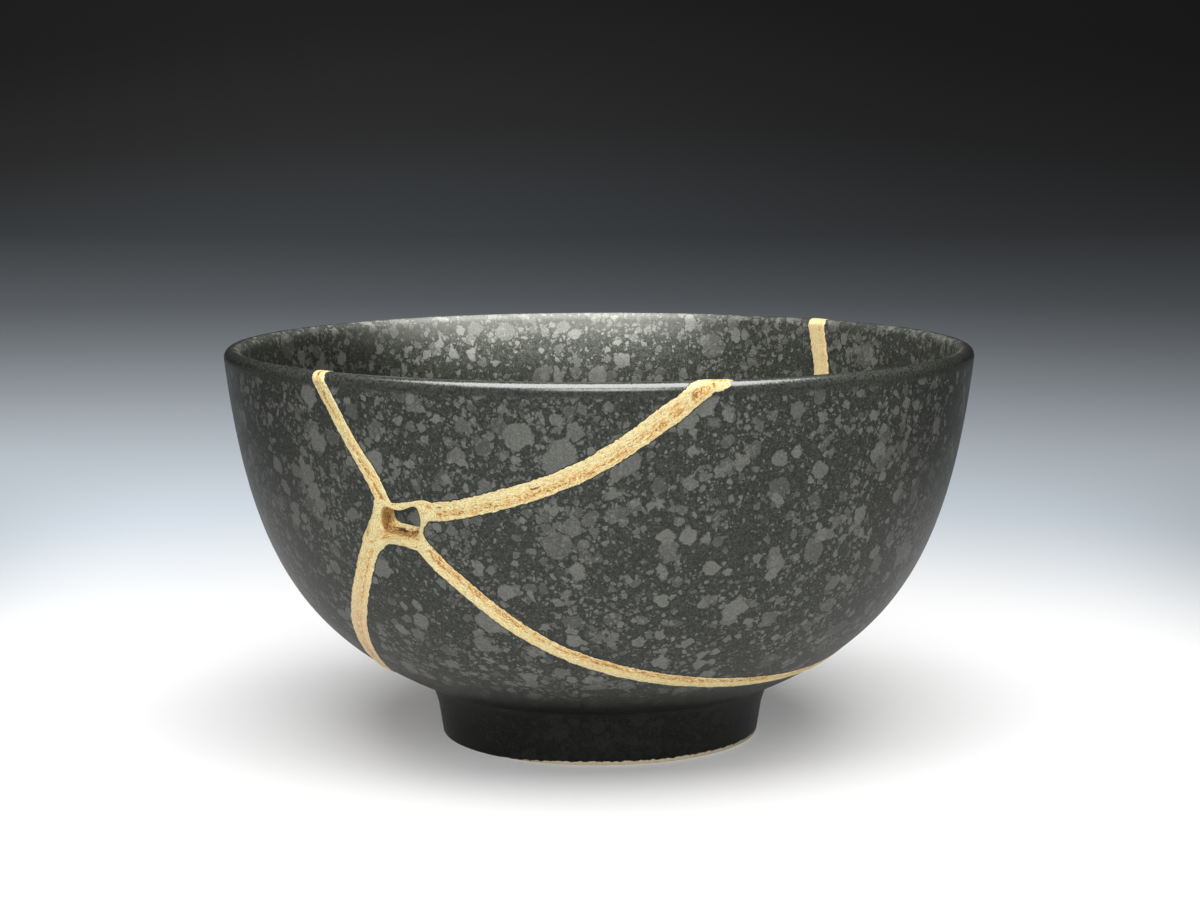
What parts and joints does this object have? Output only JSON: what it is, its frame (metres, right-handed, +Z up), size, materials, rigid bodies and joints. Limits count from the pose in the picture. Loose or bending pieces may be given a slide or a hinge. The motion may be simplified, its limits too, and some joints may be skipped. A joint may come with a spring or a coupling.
{
  "type": "kintsugi bowl",
  "caption": "Dark speckled stoneware rice bowl on a ring foot, broken and mended with gold lacquer seams, with a small gold-lined hole left open in the wall.",
  "frame": {"origin": "on the bowl's axis, in the plane that the foot ring stands on", "axes": "+Z up along the bowl's axis; -Y is the front, where the mended hole is; +X to the right"},
  "size_m": [0.12, 0.12, 0.0638],
  "materials": {
    "glaze": "satin charcoal glaze with grey speckles; bare buff clay under the foot",
    "gold": "soft matte gold powder on lacquer"
  },
  "bodies": {
    "root": {"front_rim_shard": "glaze", "left_wall_shard": "glaze", "right_wall_shard": "glaze", "foot_shard": "glaze", "gold_lacquer_seams": "gold"}
  },
  "joints": []
}
